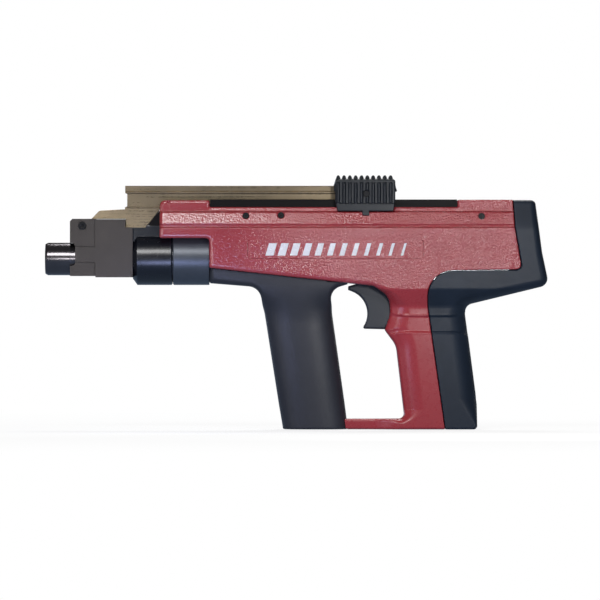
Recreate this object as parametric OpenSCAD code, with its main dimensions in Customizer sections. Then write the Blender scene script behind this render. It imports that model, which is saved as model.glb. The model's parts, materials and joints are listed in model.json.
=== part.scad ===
// Powder-actuated nail gun, semi-automatic, with a sliding barrel unit.
// Millimetres. +X to the rear, +Z up, Y = 0 on the mid plane, base on Z = 0.

/* [Barrel unit] */
// Height of the barrel axis above the base
axis_z = 136; // [135.8:0.1:136.2]
// Outer radius of the barrel tube
tube_r = 13; // [12.6:0.1:13.2]
// Radius of the piston bore
bore_r = 9.5; // [9:0.1:9.6]
// Outer radius of the muzzle tube
muzzle_r = 13; // [12.8:0.1:13.2]
// Radius of the fastener bore in the muzzle
nail_bore_r = 6; // [5:0.1:6.5]
// Radius of the piston rod
rod_r = 4.02; // [3.5:0.01:4.1]
// Outer radius of the retaining ring and of the front collar
ring_r = 20.8; // [20:0.1:21]
// Half width of the nose block
nose_half_w = 15; // [14.5:0.5:16]
// Half width of the slide rail
rail_half_w = 9; // [8:0.1:9.1]

/* [Housing] */
// Half width of the lower side panels
panel_half_w = 25; // [24.5:0.5:26]
// Half width of the upper band beside the slide
band_half_w = 16; // [15.9:0.1:16.1]
// Half width of the rear grip
grip_half_w = 18; // [17.5:0.5:18.5]
// Wall thickness of the shells
wall = 3; // [2.8:0.1:3.1]
// Half width of the front grip
front_grip_half_w = 17.5; // [17:0.5:18]

/* [Handle] */
// Rest position of the handle's front end
handle_x = 31.2; // [31:0.1:31.4]
// Length of the ribbed handle
handle_len = 48; // [47.5:0.1:48.2]
// Number of cross ridges on the handle
ridge_count = 10; // [9:1:12]

/* [Cartridge channel] */
// Inner length of the channel along X, for cartridges 10 mm long in their strip
strip_x = 11.4; // [11.2:0.1:11.6]
// Inner half width of the channel
strip_half_w = 6.5; // [6:0.1:6.6]
// Space between the barrel and the breech that the strip itself passes through
strip_gap = 5.2; // [5:0.1:5.4]

/* [Hidden] */
$fn = 64;

// Colours
c_red = [0.62, 0.24, 0.26];
c_black = [0.13, 0.15, 0.18];
c_rubber = [0.17, 0.19, 0.22];
c_bronze = [0.42, 0.38, 0.32];
c_steel = [0.55, 0.55, 0.57];
c_dark_steel = [0.27, 0.25, 0.25];
c_blued = [0.30, 0.36, 0.45];
c_brass = [0.72, 0.60, 0.35];

// Stations along the barrel axis
muzzle_x = -200.4;
block_front_x = -180.4;
seat_x = -176;
block_step_x = -160;
muzzle_back_x = -150;
block_back_x = -130.4;
ring_back_x = -98.8;
collar_front_x = -98.4;
collar_back_x = -69.3;
guide_back_x = -36;
buffer_front_x = -72;
buffer_back_x = -58;
bore_back_x = 66;
barrel_back_x = 96;
breech_x = barrel_back_x + strip_gap;
strip_back_x = 101.4;
strip_front_x = strip_back_x - strip_x;
strip_wall = 1;
breech_back_x = 112;
striker_tube_back_x = 170;
pad_back_x = 176;
piston_ring_places = [57, 61];
run_gap = 0.08;
eps = 0.01;

// Ends of the piston's rod and head, and of its stop cone
rod_front_x = -88;
piston_cone_x = 50;
piston_head_x = 54;

// Stations of the housing outline
front_x = -108.8;
slot_front_x = -68.8;
slot_back_x = 128.8;
collar_wall_x = -69.2;
trigger_arc_x = 61.6;
slot_floor_z = 177.6;
top_z = 184;
front_top_z = 183.2;
front_low_z = 152.4;
groove_z = 161.6;
ridge_z = 163.8;
band_z = 173;
guide_floor_z = 175.2;
grip_top_z = 98;
panel_low_z = 112;
strip_low_top_z = 119;
guard_top_z = 8.2;
guard_half_w = 10.5;

// Front grip, slide rail and handle
grip_front_x = -69.1;
grip_lean = 8.6;
grip_half_len = 27.4;
flare_half_w = 21;
guide_r = 16.5;
spigot_r = 11.5;
guide_half_w = 13.3;
rail_back_x = 76;
rail_low_z = 175.6;
rail_top_z = 194.4;
handle_body_top_z = 199.4;
handle_top_z = 202.8;
handle_half_w = 20.6;
rib_half_w = 22;

// Pivots
trigger_x = 52;
trigger_z = 117.8;
sear_x = 135;
sear_z = 119;
pin_r = 2;
handle_pin_x = 56;
handle_pin_z = 188;
handle_pin_r = 2.6;
nose_pin_x = -170.6;
nose_pin_z = 162.4;
nose_pin_r = 3.2;
trigger_half_w = 7;
spring_seat_z = 113.4;
tail_top_z = 95.8;
striker_r = 7;
striker_step_x = 148;

// Underside of the link, and the tongue on the retaining ring
link_low_z = 161;
tongue_half_w = 3;

// Fine grooves round the set-back parts of the nose block
line_w = 0.9;
line_depth = 1.2;

// Screws through the link, as x, and through the housing, as [x, z]
link_screw_places = [-131, -124];
side_screws = [[-40, 170.3], [-12, 170.7], [148, 170]];
upper_grip_screw = [4, 92];
lower_grip_screw = [13, 16];
shell_screw = [106.2, 60];
cover_screw = [130, 22];
grip_screw_places = [upper_grip_screw, lower_grip_screw, shell_screw, cover_screw];
screw_r = 1.5;
screw_head_r = 2.5;
nut_r = 2.9;
boss_r = 4;

// ---------- geometry helpers ----------

function unit(v) = v / norm(v);
function at(list, i) = list[(i + len(list)) % len(list)];

// Arc that rounds corner p between neighbours a and b with radius r
function corner_arc(a, p, b, r, n) =
  r < 0.05 ? [p] :
  let (u = unit(a - p), v = unit(b - p),
       half = acos(max(-1, min(1, u * v))) / 2,
       s = p + u * r / tan(half), e = p + v * r / tan(half),
       c = p + unit(u + v) * r / sin(half),
       a0 = atan2(s.y - c.y, s.x - c.x), a1 = atan2(e.y - c.y, e.x - c.x),
       turn = (a1 - a0 + 900) % 360 - 180)
  [for (i = [0:n]) c + r * [cos(a0 + turn * i / n), sin(a0 + turn * i / n)]];

// Outline from corners [x, y, r], each rounded with its own radius
function rounded(corners, n = 5) =
  [for (i = [0:len(corners) - 1])
    let (a = at(corners, i - 1), p = at(corners, i), b = at(corners, i + 1))
    each corner_arc([a.x, a.y], [p.x, p.y], [b.x, b.y], p.z, n)];

// Counter-clockwise corners moved inwards by d, with their radii adjusted
function inset(corners, d) =
  [for (i = [0:len(corners) - 1])
    let (a = at(corners, i - 1), p = at(corners, i), b = at(corners, i + 1),
         u = unit([p.x - a.x, p.y - a.y]), v = unit([b.x - p.x, b.y - p.y]),
         nu = [-u.y, u.x], nv = [-v.y, v.x],
         m = (nu + nv) / (1 + nu * nv), bend = u.x * v.y - u.y * v.x)
    [p.x + m.x * d, p.y + m.y * d, max(0, p.z - (bend > 0 ? d : -d))]];

// XZ outline extruded from y0 to y1
module slab(points, y0, y1)
  translate([0, y1, 0]) rotate([90, 0, 0]) linear_extrude(y1 - y0) polygon(points);

// YZ outline extruded from x0 to x1
module beam(points, x0, x1)
  translate([x0, 0, 0]) rotate([90, 0, 90]) linear_extrude(x1 - x0) polygon(points);

module box(x0, x1, y0, y1, z0, z1)
  translate([x0, y0, z0]) cube([x1 - x0, y1 - y0, z1 - z0]);

// Room for the cartridge strip's guide, between two heights
module strip_envelope(z0, z1)
  box(strip_front_x - strip_wall - 0.1, strip_back_x + strip_wall + 0.1,
      -strip_half_w - strip_wall - 0.1, strip_half_w + strip_wall + 0.1, z0, z1);

// Cylinder or cone on the barrel axis
module x_rod(x0, x1, r, r_end = -1)
  translate([x0, 0, axis_z]) rotate([0, 90, 0])
    cylinder(h = x1 - x0, r1 = r, r2 = r_end < 0 ? r : r_end);

module x_ring(x0, x1, r, hole_r)
  difference() {
    x_rod(x0, x1, r);
    x_rod(x0 - 1, x1 + 1, hole_r);
  }

module y_rod(x, z, y0, y1, r)
  translate([x, y1, z]) rotate([90, 0, 0]) cylinder(h = y1 - y0, r = r);

module z_rod(x, y, z0, z1, r) translate([x, y, z0]) cylinder(h = z1 - z0, r = r);

// Coil spring along +Z from the origin, as one swept wire
module coil(length, r, wire_r, turns) {
  steps = turns * 12;
  sides = 6;
  rise = (length - 2 * wire_r) / steps;
  points = [for (i = [0:steps]) for (j = [0:sides - 1])
    let (a = i * 30, b = j * 360 / sides, q = r + wire_r * cos(b))
    [q * cos(a), q * sin(a), wire_r + i * rise + wire_r * sin(b)]];
  walls = [for (i = [0:steps - 1]) for (j = [0:sides - 1])
    let (k = (j + 1) % sides)
    [i * sides + j, (i + 1) * sides + j, (i + 1) * sides + k, i * sides + k]];
  start = [[for (j = [0:sides - 1]) j]];
  end = [[for (j = [sides - 1:-1:0]) steps * sides + j]];
  polyhedron(points, concat(start, walls, end), convexity = 8);
}

// ---------- housing outlines ----------

// Lower edge of the red body above the front grip
function low_edge_z(x) = 128.8 - (x - collar_wall_x) * 14.4 / (trigger_arc_x - collar_wall_x);

housing_corners = [
  [34, 0, 0], [144.6, 0, 3], [144.4, 26, 60], [134.9, 98.9, 6], [201.72, 115.2, 7],
  [196.2, 141, 50], [190.6, 183.8, 4.5], [slot_back_x, top_z, 1.5],
  [slot_back_x, slot_floor_z, 0], [slot_front_x, slot_floor_z, 0],
  [slot_front_x, front_top_z, 1], [front_x, front_top_z, 5], [front_x, front_low_z, 1.5],
  [collar_wall_x, front_low_z, 3], [collar_wall_x, low_edge_z(collar_wall_x), 0],
  [trigger_arc_x, low_edge_z(trigger_arc_x), 0], [74.2, 106.5, 14], [75.4, 92, 25],
  [70.8, 79.2, 0], [79.9, 67, 16], [86.8, guard_top_z, 4], [34, guard_top_z, 0]
];

// Region of the rubber rear cover
cover_region = rounded([
  [172.2, 200, 0], [174.6, 160, 60], [180.2, 127.4, 4], [105, 126.4, 20],
  [105, 99, 60], [119.6, -2, 0], [215, -2, 0], [215, 200, 0]
]);

// Half section of the housing across its width, as [y, z]
half_section = [
  [0, -1], [grip_half_w - 3.5, -1], [grip_half_w - 3.5, 0], [grip_half_w, 3.5],
  [grip_half_w, grip_top_z], [panel_half_w, panel_low_z], [panel_half_w, groove_z - 1],
  [panel_half_w - 3.2, groove_z], [panel_half_w - 3.2, groove_z + 1.2],
  [panel_half_w - 2, ridge_z], [band_half_w + 3.6, band_z], [band_half_w, band_z + 0.8],
  [band_half_w, top_z - 1.4], [band_half_w - 1.4, top_z + 0.2], [0, top_z + 0.2]
];

// Half section of the rubber rear cover, plain and without the ridges
cover_section = [
  [0, -1], [grip_half_w - 3.5, -1], [grip_half_w - 3.5, 0], [grip_half_w, 3.5],
  [grip_half_w, grip_top_z], [panel_half_w, panel_low_z], [panel_half_w, 157],
  [panel_half_w - 1.4, 166], [panel_half_w - 4, 175], [band_half_w + 2.4, top_z - 2],
  [band_half_w, top_z + 0.2], [0, top_z + 0.2]
];

// Half section of the hollow inside
hollow_section = [
  [-1, 0], [grip_half_w - wall, 0], [grip_half_w - wall, grip_top_z + 0.8],
  [panel_half_w - wall, panel_low_z + 0.8], [panel_half_w - wall, groove_z - 4],
  [panel_half_w - 6.4, groove_z - 1], [panel_half_w - 6.4, ridge_z + 1],
  [band_half_w + 0.6, band_z - 2.4], [band_half_w - 2.5, band_z - 1.2],
  [band_half_w - 2.5, 200], [-1, 200]
];

// Room beside the guard bar that joins the two grips, on the +Y side
module beside_guard()
  translate([0, 0, -1]) linear_extrude(1 + guard_top_z + eps) polygon(rounded([
    [30, guard_half_w, 0], [83, guard_half_w, 8], [83, 40, 0], [30, 40, 0]
  ]));

// Guard bar between the grips, shaped to the front grip's back
module guard_bar() difference() {
  intersection() {
    slab(rounded(housing_corners), 0, guard_half_w);
    box(30, 88, -1, guard_half_w + 1, -1, guard_top_z);
  }
  intersection() {
    grip_column(-0.1, -1);
    slab(grip_outline, -1, 40);
  }
  slab([[29, -2], [36, -2], [36, 10], [29, 10]], -1, 40);
}

// One half of the body, on the +Y side, hollow and open at the mid plane
module body_half(section = half_section) {
  guard_bar();
  difference() {
    intersection() {
      slab(rounded(housing_corners), 0, panel_half_w);
      beam(section, -120, 210);
    }
    beside_guard();
    box(30, 44, -1, 40, -2, guard_top_z + eps);
    intersection() {
      slab(rounded(inset(housing_corners, wall)), -1, panel_half_w);
      beam(hollow_section, -120, 210);
    }
    // room for the ring and the barrel
    x_rod(front_x - 1, collar_wall_x, ring_r + 0.4);
    x_rod(collar_wall_x - 1, guide_back_x + eps, guide_r);
    x_rod(guide_back_x, barrel_back_x, tube_r + 0.4);
    // front opening for the guide's nose, then the slot for rail and guide
    box(front_x - 1, -100, -1, 11, axis_z + 14, 175.5);
    box(front_x - 1, slot_front_x, -1, rail_half_w + 0.6, 175, top_z + 1);
    box(slot_front_x - eps, slot_back_x, -1, band_half_w - 2.5, 174, top_z + 1);
    box(slot_front_x - wall - eps, slot_front_x, -1, band_half_w - 2.5, 174, 180.2);
    // way for the cartridge strip and its guide
    strip_envelope(-1, strip_low_top_z + eps);
    // way for the trigger
    box(43, 80, -1, trigger_half_w + 0.5, 78.4, 122.6);
    box(75, 89, -1, trigger_half_w + 0.5, 84, 104);
    box(75, 85, -1, 11, 96, 105);
  }
}

// The hollow as a solid, used to trim the ribs
module hollow_half() {
  intersection() {
    slab(rounded(inset(housing_corners, wall - 0.5)), 0, panel_half_w);
    beam(hollow_section, -120, 210);
  }
}

// Rib across the hollow with a round seat of radius r on the barrel axis
module rib(x, r) difference() {
  intersection() {
    hollow_half();
    box(x, x + 3, 0, panel_half_w, 112, 160);
  }
  x_rod(x - 1, x + 4, r);
}

// Screw bosses, pin bosses and ribs on the +Y side
module inner_supports() {
  y_rod(side_screws[2].x, side_screws[2].y, 0, 17.5, boss_r);
  y_rod(shell_screw.x, shell_screw.y, 0, grip_half_w - 1, 3.4);
  intersection() {
    y_rod(trigger_x, trigger_z, trigger_half_w + 0.8, 14, boss_r);
    slab(rounded(housing_corners), 0, panel_half_w);
  }
  for (x = [-60, -42]) rib(x, guide_r);
  // cheeks beside the breech block and the striker housing
  for (x = [102, 106.5]) box(x, x + 3, 20, panel_half_w - wall + 0.5, 121, 150);
  for (x = [120, 160]) box(x, x + 3, 16, panel_half_w - wall + 0.5, 128.5, 150);
}

module side_screw_holes(half) {
  for (p = side_screws) {
    y_rod(p.x, p.y, -1, 30, screw_r);
    if (half == "head") y_rod(p.x, p.y, 17.2, 30, screw_head_r + 0.1);
    if (half == "nut") y_rod(p.x, p.y, 17.2, 30, nut_r + 0.1);
  }
}

// ---------- housing pieces ----------

module left_shell() color(c_red) mirror([0, 1, 0]) difference() {
  union() {
    difference() {
      body_half();
      slab(cover_region, -1, 30);
    }
    inner_supports();
    // seat of the trigger spring
    box(78, 88, -3, panel_half_w - wall + 0.5, spring_seat_z, spring_seat_z + 2);
  }
  side_screw_holes("head");
  y_rod(trigger_x, trigger_z, -1, 14, pin_r);
  y_rod(shell_screw.x, shell_screw.y, -1, 12, screw_r);
  slab(label_outline(0), panel_half_w - 0.6, panel_half_w + 1);
}

module right_shell() color(c_red) difference() {
  union() {
    difference() {
      body_half();
      slab(cover_region, -1, 30);
    }
    inner_supports();
  }
  side_screw_holes("nut");
  y_rod(trigger_x, trigger_z, -1, 14, pin_r);
  y_rod(shell_screw.x, shell_screw.y, -1, 30, screw_r);
  y_rod(shell_screw.x, shell_screw.y, 15.6, 30, screw_head_r + 0.1);
}

module cover_half() {
  intersection() {
    body_half(cover_section);
    slab(cover_region, -1, 30);
  }
  y_rod(cover_screw.x, cover_screw.y, 0, grip_half_w - 1, 3.4);
}

module rear_cover_left() color(c_rubber) mirror([0, 1, 0]) difference() {
  cover_half();
  y_rod(cover_screw.x, cover_screw.y, -1, 12, screw_r);
}

module rear_cover_right() color(c_rubber) difference() {
  cover_half();
  y_rod(cover_screw.x, cover_screw.y, -1, 30, screw_r);
  y_rod(cover_screw.x, cover_screw.y, 15.6, 30, screw_head_r + 0.1);
}

// Label recess in the left side, grown by d all round
function label_outline(d) = rounded([
  [-38.4 - d, 136.2 - d, 2], [101.6 + d, 136.2 - d, 2],
  [101.6 + d, 150.8 + d, 2], [-38.4 - d, 150.8 + d, 2]
]);

module label_plate() color(c_red)
  mirror([0, 1, 0]) slab(label_outline(-0.1), panel_half_w - 0.6, panel_half_w - 0.2);

// Front grip: slanted oval column below a flared top that meets the body
grip_outline = rounded([
  [-10.8, 0, 0], [42, 0, 0], [26.9, 112.4, 9], [43, low_edge_z(43) - 0.4, 0],
  [grip_front_x, low_edge_z(grip_front_x) - 0.1, 0], [grip_front_x, 116.6, 1.5], [-29.1, 113.4, 11]
]);

function oval(a, b) = [for (t = [0:6:354])
  [a * sign(cos(t)) * pow(abs(cos(t)), 0.8), b * sign(sin(t)) * pow(abs(sin(t)), 0.8)]];

module grip_column(inset_by, z0)
  intersection() {
    translate([15.4, 0, 0]) rotate([0, -grip_lean, 0]) translate([0, 0, -12])
      linear_extrude(150) polygon(oval(grip_half_len - inset_by, front_grip_half_w - inset_by));
    box(-90, 90, 0, 30, z0, 130);
  }

module front_grip_half() difference() {
  union() {
    intersection() {
      grip_column(0, 0);
      slab(grip_outline, 0, 30);
    }
    intersection() {
      slab(grip_outline, 0, 30);
      beam([[0, 99], [14, 99], [flare_half_w, 113], [flare_half_w, 131], [0, 131]], -70, 50);
    }
  }
  difference() {
    grip_column(wall, wall);
    y_rod(upper_grip_screw.x, upper_grip_screw.y, 0, 30, boss_r);
    y_rod(lower_grip_screw.x, lower_grip_screw.y, 0, 30, boss_r);
  }
  x_rod(-70, guide_back_x + eps, guide_r);
  x_rod(guide_back_x, 60, tube_r + 0.4);
}

module front_grip_left() color(c_black) mirror([0, 1, 0]) difference() {
  front_grip_half();
  for (i = [0, 1]) y_rod(grip_screw_places[i].x, grip_screw_places[i].y, -1, 12, screw_r);
}

module front_grip_right() color(c_black) difference() {
  front_grip_half();
  for (i = [0, 1]) {
    y_rod(grip_screw_places[i].x, grip_screw_places[i].y, -1, 30, screw_r);
    y_rod(grip_screw_places[i].x, grip_screw_places[i].y, 15.2, 30, screw_head_r + 0.1);
  }
}

// Guide channel for the rail, with a nose below the rail at the front
module slide_guide() color(c_black) difference() {
  union() {
    box(front_x + 3.2, slot_back_x - 3.4, -guide_half_w, guide_half_w, 166.8, guide_floor_z);
    slab([
      [-118.3, 162.8], [front_x + 4, 162.8], [front_x + 4, guide_floor_z],
      [-108.2, guide_floor_z]
    ], -10.8, 10.8);
    for (s = [0, 1]) mirror([0, s, 0]) {
      box(front_x + 4.5, slot_front_x + 0.3, rail_half_w + 0.6, guide_half_w,
          guide_floor_z - 0.1, 180);
      box(slot_front_x + 0.3, slot_back_x - 0.3, rail_half_w + 0.6, guide_half_w,
          guide_floor_z - 0.1, 183.4);
    }
  }
  // groove for the ring's tongue
  box(-120, front_x + 5, -tongue_half_w - 0.4, tongue_half_w + 0.4, 160, 164.6);
  strip_envelope(160, 180);
  for (p = side_screws) y_rod(p.x, p.y, -20, 20, screw_r);
}

module housing_screws() color(c_dark_steel)
  for (p = side_screws) {
    y_rod(p.x, p.y, -17.2, 19.4, screw_r);
    difference() {
      y_rod(p.x, p.y, -18.9, -17.2, screw_head_r);
      translate([p.x, -18, p.y]) rotate([90, 0, 0]) cylinder(h = 1, r = 1.4, $fn = 6);
    }
  }

module housing_nuts() color(c_steel)
  for (p = side_screws) difference() {
    translate([p.x, 19.4, p.y]) rotate([90, 0, 0]) cylinder(h = 2.2, r = nut_r, $fn = 6);
    y_rod(p.x, p.y, 10, 30, screw_r);
  }

module grip_screws() color(c_dark_steel)
  for (i = [0:3]) {
    p = grip_screw_places[i];
    seat_y = i < 2 ? 15.2 : 15.6;
    y_rod(p.x, p.y, -11.5, seat_y, screw_r);
    difference() {
      y_rod(p.x, p.y, seat_y, seat_y + 1.7, screw_head_r);
      translate([p.x, seat_y + 1.8, p.y]) rotate([90, 0, 0]) cylinder(h = 1, r = 1.4, $fn = 6);
    }
  }

// ---------- fixed mechanism ----------

module barrel_guide() color(c_steel)
  x_ring(collar_front_x + 0.4, guide_back_x, guide_r, tube_r + run_gap);

module front_collar() color(c_blued) difference() {
  union() {
    x_rod(collar_front_x, collar_front_x + 0.8, ring_r - 0.8, ring_r);
    x_rod(collar_front_x + 0.8, collar_back_x, ring_r);
  }
  x_rod(collar_front_x - 1, collar_back_x + 1, guide_r);
}

module breech_block() color(c_steel) difference() {
  box(breech_x, breech_back_x, -20, 20, 119.2, 152.8);
  x_rod(breech_x - 1, breech_back_x + 1, 3.05);
}

module striker_housing() color(c_dark_steel) difference() {
  union() {
    box(breech_back_x, striker_tube_back_x, -16, 16, 124, 152);
    // ears that carry the sear pin
    for (s = [0, 1]) mirror([0, s, 0]) box(130.5, 139.5, 11, 14, 115.5, 125);
  }
  y_rod(sear_x, sear_z, -20, 20, pin_r);
  x_rod(breech_back_x - 1, striker_tube_back_x + 1, striker_r + run_gap);
  box(116, 130, -4.1, 4.1, 120, 132);
}

module striker_spring() color(c_steel)
  translate([striker_step_x + 0.5, 0, axis_z]) rotate([0, 90, 0])
    coil(striker_tube_back_x - striker_step_x - 0.9, 5.4, 0.8, 7);

module recoil_pad() color(c_black)
  x_rod(striker_tube_back_x, pad_back_x, 12);

// One length of the channel that the cartridge strip runs through
module strip_channel(z0, z1) difference() {
  box(strip_front_x - strip_wall, strip_back_x + strip_wall,
      -strip_half_w - strip_wall, strip_half_w + strip_wall, z0, z1);
  box(strip_front_x, strip_back_x, -strip_half_w, strip_half_w, z0 - 1, z1 + 1);
}

module strip_guide_lower() color(c_steel) strip_channel(0.4, strip_low_top_z);

module strip_guide_upper() color(c_steel) strip_channel(153, 177.2);

module trigger_pin() color(c_steel) y_rod(trigger_x, trigger_z, -14, 14, pin_r);

module sear_pin() color(c_steel)
  y_rod(sear_x, sear_z, -14, 14, pin_r);

module trigger_spring() color(c_steel)
  translate([81.5, 0, tail_top_z + 0.3]) coil(spring_seat_z - tail_top_z - 0.4, 2.3, 0.45, 6);

// Torsion spring wound round the sear pin
module sear_spring() color(c_steel)
  translate([sear_x, -4.2, sear_z]) rotate([90, 0, 0]) coil(5, 3.1, 0.5, 4);

// ---------- barrel unit ----------

module barrel_tube() color(c_steel) difference() {
  union() {
    x_rod(muzzle_back_x, block_back_x + eps, spigot_r);
    x_rod(block_back_x, barrel_back_x - 1, tube_r);
    x_rod(barrel_back_x - 1, barrel_back_x, tube_r, tube_r - 1);
  }
  x_rod(muzzle_back_x - 1, bore_back_x, bore_r);
  x_rod(bore_back_x - 1, barrel_back_x - 10, 1.5);
  x_rod(barrel_back_x - 10, barrel_back_x + 1, 3.4);
}

module retaining_ring() color(c_black) difference() {
  union() {
    x_rod(block_back_x, block_back_x + 3.6, ring_r - 5, ring_r);
    x_rod(block_back_x + 3.6, ring_back_x - 0.8, ring_r);
    x_rod(ring_back_x - 0.8, ring_back_x, ring_r, ring_r - 0.8);
    // lug that fills the space up to the link
    slab([
      [block_back_x, 150], [-102, 150], [-102, 162.4], [-118.8, 162.4], [-119.8, link_low_z],
      [block_back_x, link_low_z]
    ], -10.6, 10.6);
    // tongue that slides in the guide's groove
    box(-117.2, -102, -tongue_half_w, tongue_half_w, 162.3, 164.2);
  }
  x_rod(block_back_x - 1, ring_back_x + 1, tube_r);
}

module nose_block() color(c_dark_steel) difference() {
  union() {
    // rear part with its step for the link
    slab([
      [block_step_x, 121.4], [block_back_x, 121.4], [block_back_x, link_low_z],
      [-136.4, link_low_z], [-136.4, 167.6], [block_step_x, 167.6]
    ], -nose_half_w, nose_half_w);
    // central band
    box(block_front_x, block_step_x + eps, -nose_half_w, nose_half_w, 133.6, 145.2);
    // upper and lower front parts, set back by one
    slab([
      [block_front_x, 122.4], [block_step_x + eps, 122.4], [block_step_x + eps, 168],
      [block_front_x + 2, 168], [block_front_x, 166]
    ], 1 - nose_half_w, nose_half_w - 1);
  }
  x_rod(block_front_x - 1, seat_x, muzzle_r - 0.4);
  x_rod(seat_x - 1, block_back_x + 1, spigot_r);
  // open notch that shows the muzzle tube
  slab(rounded([
    [block_front_x - 2, 130.4, 0], [seat_x - 0.2, 130.4, 3], [seat_x - 0.2, 148.8, 3],
    [block_front_x - 2, 148.8, 0]
  ]), -20, 20);
  y_rod(nose_pin_x, nose_pin_z, -20, 20, nose_pin_r);
  for (s = [0, 1]) mirror([0, s, 0]) {
    floor_y = nose_half_w - 1 - line_depth;
    y_rod(nose_pin_x, nose_pin_z, floor_y, 20, nose_pin_r + line_w * 0.6);
    for (z = [[120, 133.6], [145.2, 170]])
      box(block_step_x - line_w, block_step_x, floor_y, 20, z[0], z[1]);
    for (z = [133.6 - line_w, 145.2])
      box(block_front_x - 1, block_step_x, floor_y, 20, z, z + line_w);
  }
}

module muzzle_tube() color(c_dark_steel) difference() {
  union() {
    x_rod(muzzle_x, muzzle_x + 2, muzzle_r - 1.2, muzzle_r);
    x_rod(muzzle_x + 2, block_front_x, muzzle_r);
    x_rod(block_front_x - eps, seat_x, muzzle_r - 0.4);
    x_rod(seat_x - eps, muzzle_back_x, spigot_r);
  }
  x_rod(muzzle_x - 1, -165, nail_bore_r);
  x_rod(-166, muzzle_back_x + 1, rod_r + run_gap);
}

module piston_guide() color(c_brass)
  x_ring(muzzle_back_x, buffer_front_x, bore_r, rod_r + run_gap);

module buffer_ring() color(c_black)
  x_ring(buffer_front_x, buffer_back_x, bore_r, rod_r + 0.4);

module nose_pin() color(c_steel) difference() {
  y_rod(nose_pin_x, nose_pin_z, 0.6 - nose_half_w, nose_half_w - 0.6, nose_pin_r);
  for (s = [0, 1]) mirror([0, s, 0])
    translate([nose_pin_x, 1.4 - nose_half_w, nose_pin_z]) rotate([90, 0, 0])
      cylinder(h = 2, r = 1.3, $fn = 6);
}

module rail_link() color(c_bronze) difference() {
  slab(rounded([
    [-136, link_low_z, 0.6], [-120.2, link_low_z, 0.8], [-109.4, 174.6, 0.8], [-109.6, 175.6, 0],
    [-138, 175.6, 2], [-157, 174.6, 4], [-163.2, 168.1, 0], [-136, 168.1, 0]
  ]), -rail_half_w, rail_half_w);
  for (x = link_screw_places) {
    z_rod(x, 0, 160, 176, 1.6);
    z_rod(x, 0, 160, 164, 3.1);
  }
}

module link_screws() color(c_steel)
  for (x = link_screw_places) {
    z_rod(x, 0, 163.9, 181, 1.6);
    z_rod(x, 0, link_low_z + 0.4, 164, 3.1);
  }

// Half section of the rail: a head, a thinner web and a lip along the bottom
rail_half_section = [
  [-0.5, rail_low_z], [8, rail_low_z], [8, 176.5], [rail_half_w, 176.8], [rail_half_w, 177.2],
  [7.8, 177.8], [7.8, 188], [rail_half_w, 188.6], [rail_half_w, 189.4], [rail_half_w - 0.5, 189.8],
  [rail_half_w, 190.2], [rail_half_w, rail_top_z - 0.6], [rail_half_w - 0.6, rail_top_z],
  [-0.5, rail_top_z]
];

// Channel-section rail, open downwards inside the handle
module slide_rail() color(c_bronze) difference() {
  intersection() {
    slab([
      [-136.6, rail_low_z], [rail_back_x, rail_low_z], [rail_back_x, rail_top_z],
      [-136.4, rail_top_z], [-136.4, 188.6], [-134.8, 188], [-134.8, 178], [-136.6, 177.2]
    ], -rail_half_w, rail_half_w);
    for (s = [0, 1]) mirror([0, s, 0]) beam(rail_half_section, -140, rail_back_x);
  }
  box(-140, rail_back_x + 1, -5.6, 5.6, 179.6, 191.6);
  for (x = link_screw_places) z_rod(x, 0, 175, 182, 1.6);
  y_rod(handle_pin_x, handle_pin_z, -20, 20, handle_pin_r);
}

handle_outline = rounded([
  [handle_x + 2, 174, 0.8], [handle_x + handle_len - 1.6, 174, 0.8],
  [handle_x + handle_len, 182, 2], [handle_x + handle_len, handle_body_top_z, 2.4],
  [handle_x, handle_body_top_z, 2.4], [handle_x, 182, 2]
]);

module slide_handle() color(c_black) difference() {
  union() {
    slab(handle_outline, -handle_half_w, handle_half_w);
    // cross ridges over the top, with slanted flanks
    pitch = (handle_len - 3) / ridge_count;
    for (i = [0:ridge_count - 1]) {
      x = handle_x + 1.6 + i * pitch;
      slab([
        [x - 0.2, handle_body_top_z - 0.4], [x + 0.66 * pitch, handle_body_top_z - 0.4],
        [x + 0.48 * pitch, handle_top_z], [x + 0.14 * pitch, handle_top_z]
      ], -19, 19);
    }
    // side ribs, and the plain band below them
    for (s = [0, 1]) mirror([0, s, 0]) {
      for (i = [0:ridge_count - 1])
        box(handle_x + 1.6 + i * pitch, handle_x + 1.6 + (i + 0.62) * pitch, 20, rib_half_w,
            180, 196);
      intersection() {
        slab(handle_outline, 20, rib_half_w - 0.2);
        box(0, 100, 19, 23, 170, 179);
      }
      box(52.8, 58.4, 20.95, rib_half_w - 0.2, 170.4, 174.5);
    }
  }
  box(handle_x - 1, handle_x + handle_len + 1, -16.6, 16.6, 170, 184);
  beam([
    [-9, 180], [9, 180], [9, rail_top_z], [-9, rail_top_z]
  ], handle_x - 1, rail_back_x + 0.02);
  y_rod(handle_pin_x, handle_pin_z, -30, 30, handle_pin_r);
}

module handle_pin() color(c_steel) y_rod(handle_pin_x, handle_pin_z, -19.4, 19.4, handle_pin_r);

// ---------- moving mechanism ----------

module piston() color(c_steel) difference() {
  union() {
    x_rod(rod_front_x, rod_front_x + 1.2, rod_r - 1, rod_r);
    x_rod(rod_front_x + 1.2, piston_cone_x, rod_r);
    x_rod(piston_cone_x, piston_head_x, rod_r, bore_r - run_gap);
    x_rod(piston_head_x, bore_back_x - 0.4, bore_r - run_gap);
  }
  for (x = piston_ring_places) x_ring(x, x + 1.6, 12, 8);
}

module piston_rings() color(c_steel)
  for (x = piston_ring_places) x_ring(x + 0.1, x + 1.5, bore_r - 0.04, 8.1);

module striker() color(c_steel) {
  x_rod(breech_x + 0.2, 113, 3);
  x_rod(113, 121, 4);
  x_rod(121, striker_step_x, striker_r);
  x_rod(striker_step_x, 155, 3.4);
}

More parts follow.
